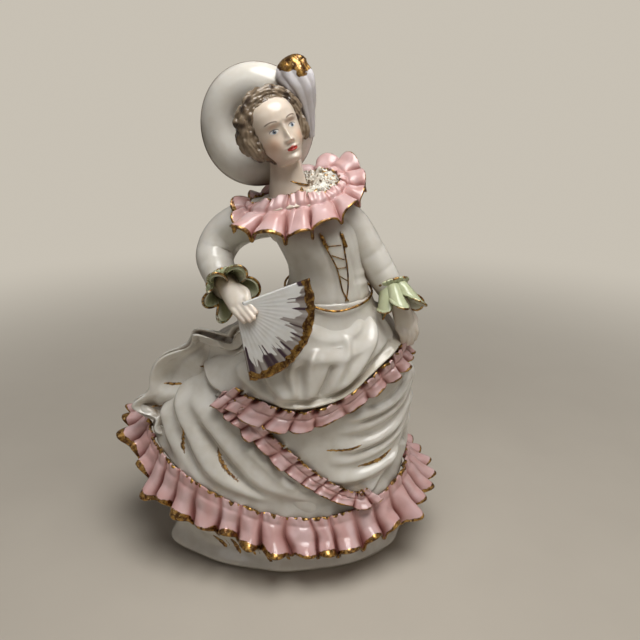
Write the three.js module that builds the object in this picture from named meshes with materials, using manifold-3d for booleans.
// A porcelain lady in a bustled dress with pleated ruffles, a brimmed hat and an open fan.
// Millimetres, +Z up. The origin is the middle of the underside, -Y is the front and +X is the
// viewer's right. The lady's own left side is therefore on +X.
//
// The piece is built as it is in the pottery: hollow slip-cast shells that nest into each other,
// solid-cast limbs, and hand-made clay strips for the ruffles. Every seam keeps a luting gap.

import * as THREE from 'three';
import { mergeVertices } from 'three/addons/utils/BufferGeometryUtils.js';
import Module from 'manifold-3d';

const wasm = await Module();
wasm.setup();

// ---------------------------------------------------------------- driving dimensions

const WALL = 2.4; // slip-cast shell
const GAP = 0.3; // luting gap between neighbours
const LIFT = 1.1; // stand-off of a clay layer from the skirt it is laid on
const STRIP = 1.3; // thickness of a ruffle's clay strip

const FOOT_PLATE = 2.5; // thickness of the closing plate
const VENT = { x: 14, y: 4, radius: 4 }; // firing vent in the foot plate
const WAIST_Z = 116; // top of the skirt, bottom of the bodice
const FINENESS = 0.04; // shape error that is accepted to keep the facets few
const AROUND = 40; // facets round the skirt

// Body sections by height: centre x and y, then half width and half depth.
const PETTICOAT_FOOT = { x: 1, y: 2, rx: 51.5, ry: 32.5 };
const SKIRT_SECTIONS = [
  [26, -1, 3, 48, 30],
  [45, 0, 3, 48, 26.5],
  [62, 1, 4, 48, 26],
  [78, 5, 5, 46, 27],
  [92, 9, 4, 37, 27],
  [105, 14, 0, 26, 21],
  [WAIST_Z, 16.5, -4, 17, 13.5],
];
const BODICE_SECTIONS = [
  [WAIST_Z + GAP, 16.5, -4, 17.2, 13.7],
  [121, 17, -4.5, 15, 12.2],
  [127, 16.2, -5, 14.2, 12],
  [134, 14, -5.5, 15, 13.6],
  [141, 11.5, -5, 16.5, 14],
  [147, 9, -3.5, 16.5, 11],
  [151, 7.5, -3, 12.5, 8.5],
];

// Where the hem ruffle is sewn on and where it ends, as loops that start at the front and turn
// towards +X. The skirt sweeps out and up on the lady's right.
const HEM_SEAM = [
  [3, -27, 28], [24, -25, 30], [40, -18, 35], [49, 0, 40], [44, 18, 43], [26, 30, 45],
  [0, 35, 47], [-24, 35, 50], [-44, 28, 57], [-57, 9, 61], [-48, -13, 50], [-25, -26, 38],
];
const HEM_EDGE = [
  [7, -37, 14], [33, -33, 15], [50, -21, 19], [61, 4, 26], [56, 24, 30], [34, 40, 31],
  [2, 47, 33], [-30, 46, 37], [-57, 36, 45], [-71, 9, 50], [-59, -15, 32], [-32, -31, 21],
];
const HEM_PLEATS = 44;

// The collar ruffle hangs down at the front and stands up behind the lady's left shoulder.
const COLLAR_SEAM = [
  [4, -16.5, 154], [16, -14, 156.5], [21, -3, 160], [16, 7, 163],
  [6, 8.5, 159], [-5, 4.5, 154.5], [-12, -3, 152], [-8, -13, 152],
];
const COLLAR_EDGE = [
  [3, -24, 141.5], [23, -20, 149], [31, -3, 157], [25, 14, 166],
  [6, 16, 157.5], [-12, 11, 150.5], [-20, -3, 146], [-15, -18, 143],
];
const COLLAR_PLEATS = 18;

const HEAD = { at: [-2, -6, 175.5], half: [10.2, 11.6, 13.6], yaw: 26, tilt: -22 };
const HAT = { at: [-9.2, 6.5, 178.5], brim: 21.2, crown: 12, depth: 9, yaw: -6, tilt: -12 };
const FAN = { pivot: [-17, -27.5, 116.5], radius: 28, from: -76, to: 22, ribs: 12, thick: 1.6 };

const COLOURS = {
  white: { color: 0xeeebe2, roughness: 0.18 },
  pink: { color: 0xdfa9ad, roughness: 0.2 },
  green: { color: 0xaabd8c, roughness: 0.2 },
  skin: { color: 0xf0dccb, roughness: 0.25 },
  hair: { color: 0x6b5a45, roughness: 0.35 },
  gold: { color: 0x9a7434, roughness: 0.3, metalness: 1 },
  bisque: { color: 0xe6e1d6, roughness: 0.8 },
};

// ---------------------------------------------------------------- small tools

const TAU = 2 * Math.PI;
const { lerp, degToRad, smoothstep } = THREE.MathUtils;
const vec = (p) => new THREE.Vector3(...p);
const steps = (n) => Array.from({ length: n + 1 }, (_, i) => i / n);
const around = (n) => Array.from({ length: n }, (_, i) => i / n);
const loop = (points) => new THREE.CatmullRomCurve3(points.map(vec), true);
const path = (points) => new THREE.CatmullRomCurve3(points.map(vec));

// Reads rows of [position, values...] as smooth functions of position.
function sections(rows) {
  const values = rows.flatMap((row) => row.slice(1));
  const curve = new THREE.CubicInterpolant(rows.map((row) => row[0]), values, rows[0].length - 1, []);
  return (position) => curve.evaluate(position);
}

const skirtSection = sections(SKIRT_SECTIONS);
const bodiceSection = sections(BODICE_SECTIONS);
const hemSeam = loop(HEM_SEAM);
const hemEdge = loop(HEM_EDGE);
const collarSeam = loop(COLLAR_SEAM);
const collarEdge = loop(COLLAR_EDGE);

// A point on an upright oval, out past it by a distance. Turn 0 is the front, a quarter is +X.
function ovalPoint([x, y, rx, ry], turn, z, out = 0) {
  const angle = TAU * turn;
  return new THREE.Vector3(x + (rx + out) * Math.sin(angle), y - (ry + out) * Math.cos(angle), z);
}

// A point on the outside of the skirt. Near its hem the skirt flares to meet the ruffle's seam.
function skirtPoint(turn, z, out = 0) {
  const hem = hemSeam.getPoint(((turn % 1) + 1) % 1);
  const height = Math.max(z, hem.z);
  const rise = (height - hem.z) / (WAIST_Z - hem.z);
  const flare = (1 - rise) ** 5;
  const point = ovalPoint(skirtSection(height), turn, height, out);
  const seam = hem.clone().add(ovalPoint([0, 0, 0, 0], turn, 0, out));
  return point.lerp(seam, flare).setZ(z);
}

// ---------------------------------------------------------------- closed bodies

// Joins rings of equally many points into one closed body. A round body meets itself; any other
// is capped at both ends by stitching each end ring to itself.
function loft(rings, round = false) {
  const size = rings[0].length;
  const index = [];
  const quad = (a, b, c, d) => index.push(a, b, c, a, c, d);
  const joins = round ? rings.length : rings.length - 1;
  for (let r = 0; r < joins; r++) {
    const here = r * size;
    const next = ((r + 1) % rings.length) * size;
    for (let i = 0; i < size; i++) {
      const j = (i + 1) % size;
      quad(here + i, here + j, next + j, next + i);
    }
  }
  const end = (rings.length - 1) * size;
  for (let i = 0; !round && i < size / 2 - 1; i++) {
    const j = size - 1 - i;
    quad(j, j - 1, i + 1, i);
    quad(end + i, end + i + 1, end + j - 1, end + j);
  }
  const geometry = new THREE.BufferGeometry().setFromPoints(rings.flat()).setIndex(index);
  return solid(geometry);
}

// A three.js geometry as a manifold-3d solid that faces outwards.
function solid(geometry) {
  const bare = geometry.clone().deleteAttribute('normal').deleteAttribute('uv');
  const merged = mergeVertices(bare, 1e-4);
  const vertProperties = merged.attributes.position.array;
  const triVerts = new Uint32Array(merged.index.array);
  const made = new wasm.Manifold(new wasm.Mesh({ numProp: 3, vertProperties, triVerts }));
  if (made.volume() > 0) return made;
  const flipped = triVerts.reverse();
  return new wasm.Manifold(new wasm.Mesh({ numProp: 3, vertProperties, triVerts: flipped }));
}

function geometryOf(body) {
  const mesh = body.getMesh();
  const positions = new THREE.BufferAttribute(mesh.vertProperties, 3);
  return new THREE.BufferGeometry()
    .setAttribute('position', positions)
    .setIndex(new THREE.BufferAttribute(mesh.triVerts, 1));
}

// The body with its surface moved outwards.
function grown(body, distance) {
  const geometry = geometryOf(body);
  geometry.computeVertexNormals();
  const { position, normal } = geometry.attributes;
  for (let i = 0; i < position.count; i++) {
    const moved = new THREE.Vector3().fromBufferAttribute(position, i);
    moved.addScaledVector(new THREE.Vector3().fromBufferAttribute(normal, i), distance);
    position.setXYZ(i, ...moved);
  }
  return solid(geometry);
}

const boxesMeet = (a, b) => [0, 1, 2].every((k) => a.min[k] < b.max[k] && b.min[k] < a.max[k]);
const largest = (body) => body.decompose().sort((a, b) => b.volume() - a.volume())[0];

// Cuts a body back from its neighbours, with the luting gap, and keeps its main piece.
function relieved(body, neighbours) {
  let left = body;
  for (const neighbour of neighbours) {
    if (!boxesMeet(left.boundingBox(), neighbour.boundingBox())) continue;
    const space = grown(neighbour, 2 * GAP); // an edge moves out by about half of this
    if (left.intersect(space).isEmpty()) continue;
    left = largest(left.subtract(space).subtract(neighbour)).simplify(FINENESS);
  }
  return left;
}

const ring = (n, pointAt) => around(n).map((t) => pointAt(TAU * t));

// A solid-cast limb along a path: rows of [x, y, z, half width, half thickness].
function limb(rows, sides = 10, slices = 8, across = [1, 0, 0]) {
  const centre = path(rows.map((row) => row.slice(0, 3)));
  const size = sections(rows.map((row, i) => [i / (rows.length - 1), row[3], row[4]]));
  const rings = steps(slices).map((t) => {
    const at = centre.getPoint(t);
    const along = centre.getTangent(t);
    const thin = new THREE.Vector3().crossVectors(along, vec(across)).normalize();
    const wide = new THREE.Vector3().crossVectors(thin, along);
    const [halfWide, halfThin] = size(t);
    return ring(sides, (angle) =>
      at.clone().addScaledVector(wide, halfWide * Math.cos(angle))
        .addScaledVector(thin, halfThin * Math.sin(angle)));
  });
  return loft(rings);
}

// A shell round the figure: an outer wall and an inner wall, open at the top and the bottom.
function shell(turns, heights, outer, inner) {
  const rings = around(turns).map((turn) => [
    ...heights.map((h) => outer(turn, h)),
    ...heights.toReversed().map((h) => inner(turn, h)),
  ]);
  return loft(rings, true);
}

// A clay layer on the skirt, between two turns and between two heights at each turn.
function layer({ from, to, columns, low, high, thickness, rows = 4, round = false }) {
  const turns = (round ? around(columns) : steps(columns)).map((t) => lerp(from, to, t));
  const rings = turns.map((turn) => {
    const column = steps(rows).map((s) => [lerp(low(turn), high(turn), s), s]);
    const across = (turn - from) / (to - from);
    return [
      ...column.map(([z, s]) => skirtPoint(turn, z, LIFT + thickness(across, s))),
      ...column.reverse().map(([z]) => skirtPoint(turn, z, LIFT)),
    ];
  });
  return loft(rings, round);
}

// A pleated strip whose gathers open out from its seam to its free edge.
function ruffle({ seam, edge, pleats, swing, perPleat = 4, round = false }) {
  const count = pleats * perPleat;
  const fractions = round ? around(count) : steps(count);
  const rings = fractions.map((t, i) => {
    const top = seam(t);
    const bottom = edge(t);
    const ahead = seam(round ? (t + 0.01) % 1 : Math.min(t + 0.01, 1));
    const behind = seam(round ? (t + 0.99) % 1 : Math.max(t - 0.01, 0));
    const fall = bottom.clone().sub(top);
    const out = ahead.sub(behind).cross(fall).normalize();
    const wave = Math.cos((TAU * i) / perPleat);
    const columnOf = (side) => [[0, 0], [1, swing]].map(([down, size]) =>
      top.clone().addScaledVector(fall, down)
        .addScaledVector(out, wave * size + (side * STRIP) / 2));
    return [...columnOf(1), ...columnOf(-1).reverse()];
  });
  return loft(rings, round);
}

// ---------------------------------------------------------------- skirt, from the ground up

function petticoatPoint(turn, rise, inward = 0) {
  const { x, y, rx, ry } = PETTICOAT_FOOT;
  const foot = ovalPoint([x, y, rx, ry], turn, 0, -inward);
  const hem = hemSeam.getPoint(turn);
  const tuck = hem.clone().multiply(vec([0.86, 0.84, 1]));
  const top = tuck.add(ovalPoint([0, 0, 0, 0], turn, 3, -inward));
  const waisted = 1 - (1 - rise) ** 1.5;
  return new THREE.Vector3(lerp(foot.x, top.x, waisted), lerp(foot.y, top.y, waisted), top.z * rise);
}

function petticoat() {
  const heights = [0, 0.12, 0.4, 1];
  const rim = (rise) => (rise === 0 ? 1.2 : 0);
  return shell(AROUND, heights,
    (turn, rise) => petticoatPoint(turn, rise, rim(rise)),
    (turn, rise) => petticoatPoint(turn, rise, WALL));
}

function footPlate() {
  const { x, y, rx, ry } = PETTICOAT_FOOT;
  const inset = WALL + 5 * GAP;
  const outline = new THREE.Shape().absellipse(x, y, rx - inset, ry - inset, 0, TAU);
  outline.holes.push(new THREE.Path().absarc(VENT.x, VENT.y, VENT.radius, 0, TAU, true));
  const plate = new THREE.ExtrudeGeometry(outline, {
    depth: FOOT_PLATE, bevelEnabled: false, curveSegments: 12,
  });
  return solid(plate);
}

function skirt() {
  const rises = [0, 0.08, 0.2, 0.35, 0.55, 0.78, 1];
  const height = (turn, rise) => lerp(hemSeam.getPoint(turn).z, WAIST_Z, rise);
  return shell(AROUND, rises,
    (turn, rise) => skirtPoint(turn, height(turn, rise)),
    (turn, rise) => skirtPoint(turn, height(turn, rise), -WALL));
}

function hemRuffle() {
  const clear = (t) => ovalPoint([0, 0, 0, 0], t, -0.5, 1.6);
  return ruffle({
    seam: (t) => hemSeam.getPoint(t).add(clear(t)),
    edge: (t) => hemEdge.getPoint(t),
    pleats: HEM_PLEATS, swing: 2, round: true,
  });
}

// Lower edges of the two draped layers, by turn. Turn -0.25 is the lady's right.
const apronEdge = sections([
  [-0.5, 97], [-0.25, 92], [-0.1, 80], [0.02, 70], [0.12, 85], [0.25, 94], [0.5, 97],
]);
const overskirtEdge = sections([
  [-0.12, 82], [-0.05, 68], [0.04, 43], [0.12, 35], [0.2, 55], [0.35, 72],
]);
const OVERSKIRT = { from: -0.1, to: 0.3, thick: 1.6, columns: 32 };
const APRON_THICK = 2;
const BUSTLE = { from: 0.325, to: 0.75, low: 65, swell: 15, columns: 17 };

// Ruffles sewn along those edges, between two turns, reaching above and below the edge.
const HIP_GIRTH = 245; // round the skirt
const APRON_STRIP = { edge: apronEdge, from: -0.1, to: 0.22, above: 4, below: 5 };
const OVERSKIRT_STRIP = { edge: overskirtEdge, from: -0.1, to: 0.13, above: 3.3, below: 3.5 };

// The turn and height of a place straight across from a layer's edge, by a distance on the skirt.
function acrossEdge(edge, turn, distance) {
  const step = 0.005;
  const slope = (edge(turn + step)[0] - edge(turn - step)[0]) / (2 * step * HIP_GIRTH);
  const part = distance / Math.hypot(1, slope);
  return [turn - (part * slope) / HIP_GIRTH, edge(turn)[0] + part];
}

function overskirt() {
  return layer({
    ...OVERSKIRT, low: (turn) => overskirtEdge(turn)[0],
    high: (turn) => apronEdge(turn)[0] - 1,
    thickness: () => OVERSKIRT.thick,
  });
}

function apron() {
  return layer({
    from: -0.5, to: 0.5, columns: AROUND, rows: 3, round: true,
    low: (turn) => apronEdge(turn)[0], high: () => WAIST_Z - 1,
    thickness: (across, rise) => APRON_THICK - rise,
  });
}

function drapeRuffle({ edge, from, to, above, below }, lift, pleats) {
  const line = (distance, out) => new THREE.CatmullRomCurve3(steps(8).map((t) => {
    const [turn, height] = acrossEdge(edge, lerp(from, to, t), distance);
    return skirtPoint(turn, height, out);
  }));
  const seam = line(above, lift + 1.5);
  const free = line(-below, lift + 3);
  return ruffle({
    seam: (t) => seam.getPoint(t), edge: (t) => free.getPoint(t), pleats, swing: 1.1,
  });
}

const apronRuffle = () => drapeRuffle(APRON_STRIP, LIFT + APRON_THICK, 15);
const overskirtRuffle = () => drapeRuffle(OVERSKIRT_STRIP, LIFT + OVERSKIRT.thick, 15);

function bustle() {
  const bulge = (t, power) => Math.sin(Math.PI * t) ** power;
  return layer({
    ...BUSTLE, rows: 5, low: () => BUSTLE.low,
    high: (turn) => apronEdge(turn > 0.5 ? turn - 1 : turn)[0] - 1,
    thickness: (across, rise) => OVERSKIRT.thick + BUSTLE.swell * bulge(across, 0.7) * bulge(rise, 0.8),
  });
}

// The swept-back drape on the lady's right: a sheet from the hip to a fluted free edge.
function bustleDrape() {
  const root = path([[-16, -17, 101], [-29, -13, 88], [-38, -10, 76], [-43, -8, 68]]);
  const edge = path([[-41, 8, 93], [-50, 6, 82], [-58, 4, 70], [-52, 0, 58]]);
  const rings = steps(18).map((t) => {
    const inner = root.getPoint(t);
    const outer = edge.getPoint(t);
    const span = outer.clone().sub(inner);
    const normal = edge.getTangent(t).cross(span).normalize();
    const column = steps(4).map((s) => {
      const belly = -4 * Math.sin(Math.PI * s);
      const flute = 2.2 * s * Math.cos(TAU * 3.5 * t);
      return inner.clone().addScaledVector(span, s).addScaledVector(normal, belly + flute);
    });
    return [
      ...column.map((p) => p.clone().addScaledVector(normal, WALL / 2)),
      ...column.reverse().map((p) => p.clone().addScaledVector(normal, -WALL / 2)),
    ];
  });
  return loft(rings);
}

// ---------------------------------------------------------------- bodice and arms

function bodice() {
  const heights = BODICE_SECTIONS.map((row) => row[0]);
  return shell(24, heights,
    (turn, z) => ovalPoint(bodiceSection(z), turn, z),
    (turn, z) => ovalPoint(bodiceSection(z), turn, z, -WALL));
}

// A gilded cord round the waist that dips to a point at the front.
function beltCord() {
  const radius = 0.7;
  const rings = around(28).map((turn) => {
    const dip = 4 * Math.cos(TAU * (turn - 0.06));
    const at = (out, up) => {
      const z = WAIST_Z + 3.5 - dip + up;
      return ovalPoint(bodiceSection(Math.max(z, WAIST_Z + GAP)), turn, z, 2.2 + out);
    };
    return ring(4, (angle) => at(radius * Math.cos(angle), radius * Math.sin(angle)));
  });
  return loft(rings, true);
}

// Corset lacing on the front of the bodice: two cords that meet at the waist, and cross laces.
function frontLacing() {
  const radius = 0.45;
  const cord = (points, joints = 2) => {
    const onBodice = points.map(([turn, z]) => ovalPoint(bodiceSection(z), turn, z, 1));
    const line = new THREE.CatmullRomCurve3(onBodice);
    const shape = new THREE.Shape().absarc(0, 0, radius, 0, TAU);
    return solid(new THREE.ExtrudeGeometry(shape, {
      steps: joints, bevelEnabled: false, extrudePath: line, curveSegments: 2,
    }));
  };
  const middle = 0.07;
  const left = cord([[0.005, 141], [0.03, 134], [0.045, 127], [middle + 0.003, 118.5]], 6);
  const right = cord([[0.13, 141], [0.12, 134], [0.1, 127], [middle, 118.5]], 6);
  const laces = [139, 135, 131, 127].map((z, i) => {
    const spread = 0.061 - 0.012 * i;
    return cord([[middle - spread, z], [middle, z - 1.5], [middle + spread, z - (i % 2)]]);
  });
  return laces.reduce((all, lace) => all.add(lace), left.add(right));
}

function rightSleeve() {
  return limb([
    [-3, -3, 146, 8.5, 8.5], [-14, 0, 143.5, 8, 8.5], [-24.5, 4, 137, 8, 8],
    [-29, 1, 129.5, 7.5, 7.5], [-26, -7, 124, 6.5, 6.5], [-23.5, -12, 120.5, 5.5, 5.5],
  ], 12, 10);
}

function leftSleeve() {
  return limb([
    [21, -3, 147, 7.5, 7.5], [29, -2, 142, 7.5, 7.5], [35, -2, 132, 7, 7],
    [39.5, -3, 123, 6.2, 6.2], [42.5, -4.5, 116.5, 5.2, 5.2],
  ]);
}

// A flared frill round a wrist. Wide waves roll along its edge.
function cuff({ at, toward, wrist, flare, length, waves, phase }) {
  const axis = vec(toward).normalize();
  const side = new THREE.Vector3().crossVectors(axis, vec([0, 0, 1])).normalize();
  const up = new THREE.Vector3().crossVectors(side, axis);
  const circle = (radius, along, t) => vec(at).addScaledVector(axis, along)
    .addScaledVector(side, radius * Math.cos(TAU * t))
    .addScaledVector(up, radius * Math.sin(TAU * t));
  const wave = (t) => Math.cos(TAU * (waves * t + phase));
  return ruffle({
    seam: (t) => circle(wrist, 0, t),
    edge: (t) => circle(flare + 1.5 * wave(t), length + 2 * wave(t + 0.08), t),
    pleats: waves, swing: 1.5, perPleat: 6, round: true,
  });
}

const rightCuff = () => cuff({
  at: [-22.5, -13.5, 120.8], toward: [0.3, -0.9, -0.3], wrist: 7.2, flare: 12, length: 5,
  waves: 6, phase: 0.1,
});
const leftCuff = () => cuff({
  at: [43, -5, 115.5], toward: [0.4, -0.2, -0.85], wrist: 6.8, flare: 11.5, length: 5.5,
  waves: 5, phase: 0.3,
});

function rightHand() {
  return limb([
    [-22.8, -15, 119.5, 3.2, 2.8], [-20.5, -20.5, 119, 4.2, 2.8], [-16.5, -23.6, 116.5, 5, 2.6],
    [-11.5, -24.2, 112.5, 4.4, 2.2], [-8.5, -24, 110, 3, 1.6],
  ], 10, 6, [0.7, 0, 1]);
}

function leftHand() {
  return limb([
    [44, -5.4, 112, 3, 2.8], [46.5, -5.6, 107.5, 4.4, 3], [49.5, -5.2, 102.5, 4.8, 3.2],
    [51.5, -4, 97.5, 4, 2.8], [52, -3, 94, 2.6, 2],
  ], 10, 6);
}

// An open fan: a sector with a scalloped rim, leaning back against the hand.
function fan() {
  const span = FAN.to - FAN.from;
  const rim = steps(FAN.ribs * 2).map((t) => {
    const angle = degToRad(lerp(FAN.from, FAN.to, t));
    const radius = FAN.radius - 0.5 * Math.abs(Math.sin(Math.PI * FAN.ribs * t));
    return new THREE.Vector2(radius * Math.cos(angle), radius * Math.sin(angle));
  });
  const hilt = [FAN.to, FAN.to - span / 2, FAN.from].map((angle) =>
    new THREE.Vector2(3 * Math.cos(degToRad(angle)), 3 * Math.sin(degToRad(angle))));
  const leaf = new THREE.ExtrudeGeometry(new THREE.Shape([...rim, ...hilt]), {
    depth: FAN.thick, bevelEnabled: false,
  });
  leaf.rotateX(degToRad(90 - 6)).rotateZ(degToRad(-6)).translate(...FAN.pivot);
  return solid(leaf);
}

// ---------------------------------------------------------------- neck, head and hat

// Turns a body that was made facing -Y, first about its up axis and then sideways.
function posed(geometry, { at, yaw, tilt, nod = 0 }) {
  const turn = new THREE.Euler(degToRad(nod), degToRad(tilt), degToRad(yaw), 'YZX');
  const frame = new THREE.Matrix4().makeRotationFromEuler(turn).setPosition(...at);
  return geometry.applyMatrix4(frame);
}

function oval(half, widthSegments = 18, heightSegments = 12) {
  return new THREE.SphereGeometry(1, widthSegments, heightSegments)
    .rotateX(Math.PI / 2).scale(...half);
}

function head() {
  const skull = oval(HEAD.half);
  const { position } = skull.attributes;
  for (let i = 0; i < position.count; i++) {
    const drop = smoothstep(-position.getZ(i), 0, HEAD.half[2]);
    const narrow = 1 - 0.25 * drop; // the jaw
    position.setXYZ(i, position.getX(i) * narrow, position.getY(i) * narrow - 1.2 * drop, position.getZ(i));
  }
  const neck = limb([
    [6.5, -3, 147, 7.6, 5.2], [6, -3.2, 152, 7.2, 5.4], [4.4, -3.6, 157, 6, 5.6],
    [2.5, -3.6, 162, 5.8, 5.8], [0.5, -4, 168, 5.8, 6],
  ], 12, 5);
  return solid(posed(skull, HEAD)).add(neck);
}

function hair() {
  const mass = oval([12.6, 12.6, 13.4]).translate(0, 3.4, 2.6);
  return solid(posed(mass, HEAD));
}

function necklace() {
  const cord = new THREE.TorusGeometry(7.1, 0.5, 4, 20).rotateX(degToRad(14)).rotateY(degToRad(-8));
  return solid(cord.translate(4.7, -3.9, 157));
}

function pendant() {
  const drop = new THREE.SphereGeometry(1, 7, 6).scale(1, 0.8, 1.5);
  return solid(drop.translate(7.2, -12.4, 154));
}

// Crumpled lace that fills the neckline between the neck and the collar.
function necklineLace() {
  const from = -0.28;
  const to = 0.42;
  const rings = steps(28).map((t, i) => {
    const turn = lerp(from, to, t);
    const outer = collarSeam.getPoint((turn + 1) % 1);
    const inner = new THREE.Vector3(5, -3.5, 157).lerp(outer, 0.72);
    const crumple = 0.5 * (i % 2);
    const column = [inner.setZ(inner.z + 0.4), outer.lerp(inner, 0.2)];
    return [
      ...column.map((p) => p.clone().setZ(p.z + 0.9 + crumple)),
      ...column.reverse().map((p) => p.clone().setZ(p.z - 0.9)),
    ];
  });
  return loft(rings);
}

// The brim is a shallow dish that faces forward; the crown stands out behind the head.
function hat() {
  const { brim, crown, depth } = HAT;
  const back = [
    [0, -depth - 1], [crown * 0.75, -depth * 0.75], [crown + 1, -2], [brim * 0.7, -2],
    [brim * 0.9, -0.6], [brim + 0.8, 2.2],
  ];
  const front = [
    [brim, 3.2], [brim * 0.86, 1.2], [brim * 0.68, 0], [crown, 0], [crown - 1.5, -depth * 0.6],
    [0, 1 - depth],
  ];
  const profile = [...back, ...front].map(([radius, out]) => new THREE.Vector2(radius, out));
  const shape = new THREE.LatheGeometry(profile, 28);
  return solid(posed(shape.rotateX(Math.PI).scale(0.94, 1, 1.04), HAT));
}

function plume() {
  return limb([
    [-2, 10, 195, 3, 1.2], [0, 6, 200, 5, 1.5], [3, 0, 201.5, 5.5, 1.6], [6.5, -4.5, 198, 5, 1.6],
    [9, -6, 191, 3.5, 1.5], [10.5, -5.5, 182, 1.5, 1.2],
  ], 8, 10);
}

// ---------------------------------------------------------------- collar

function collarRuffle() {
  return ruffle({
    seam: (t) => collarSeam.getPoint(t), edge: (t) => collarEdge.getPoint(t),
    pleats: COLLAR_PLEATS, swing: 1.8, round: true,
  });
}

// ---------------------------------------------------------------- assembly

// Each piece is relieved by the ones made before it, so the order runs from the core outwards.
const PIECES = [
  ['foot_plate', 'bisque', footPlate],
  ['petticoat', 'white', petticoat],
  ['skirt', 'white', skirt],
  ['bodice', 'white', bodice],
  ['head', 'skin', head],
  ['hair', 'hair', hair],
  ['overskirt', 'white', overskirt],
  ['apron', 'white', apron],
  ['bustle', 'white', bustle],
  ['hem_ruffle', 'pink', hemRuffle],
  ['overskirt_ruffle', 'pink', overskirtRuffle],
  ['apron_ruffle', 'pink', apronRuffle],
  ['bustle_drape', 'white', bustleDrape],
  ['belt_cord', 'gold', beltCord],
  ['front_lacing', 'gold', frontLacing],
  ['right_sleeve', 'white', rightSleeve],
  ['left_sleeve', 'white', leftSleeve],
  ['right_hand', 'skin', rightHand],
  ['left_hand', 'skin', leftHand],
  ['right_cuff', 'green', rightCuff],
  ['left_cuff', 'green', leftCuff],
  ['fan', 'white', fan],
  ['necklace', 'gold', necklace],
  ['pendant', 'gold', pendant],
  ['collar_ruffle', 'pink', collarRuffle],
  ['neckline_lace', 'white', necklineLace],
  ['hat', 'white', hat],
  ['plume', 'white', plume],
];

const figurine = new THREE.Group();
const placed = [];
for (const [name, colour, make] of PIECES) {
  const body = relieved(make(), placed);
  placed.push(body);
  const mesh = new THREE.Mesh(geometryOf(body), new THREE.MeshStandardMaterial(COLOURS[colour]));
  mesh.name = name;
  figurine.add(mesh);
}

export default figurine;
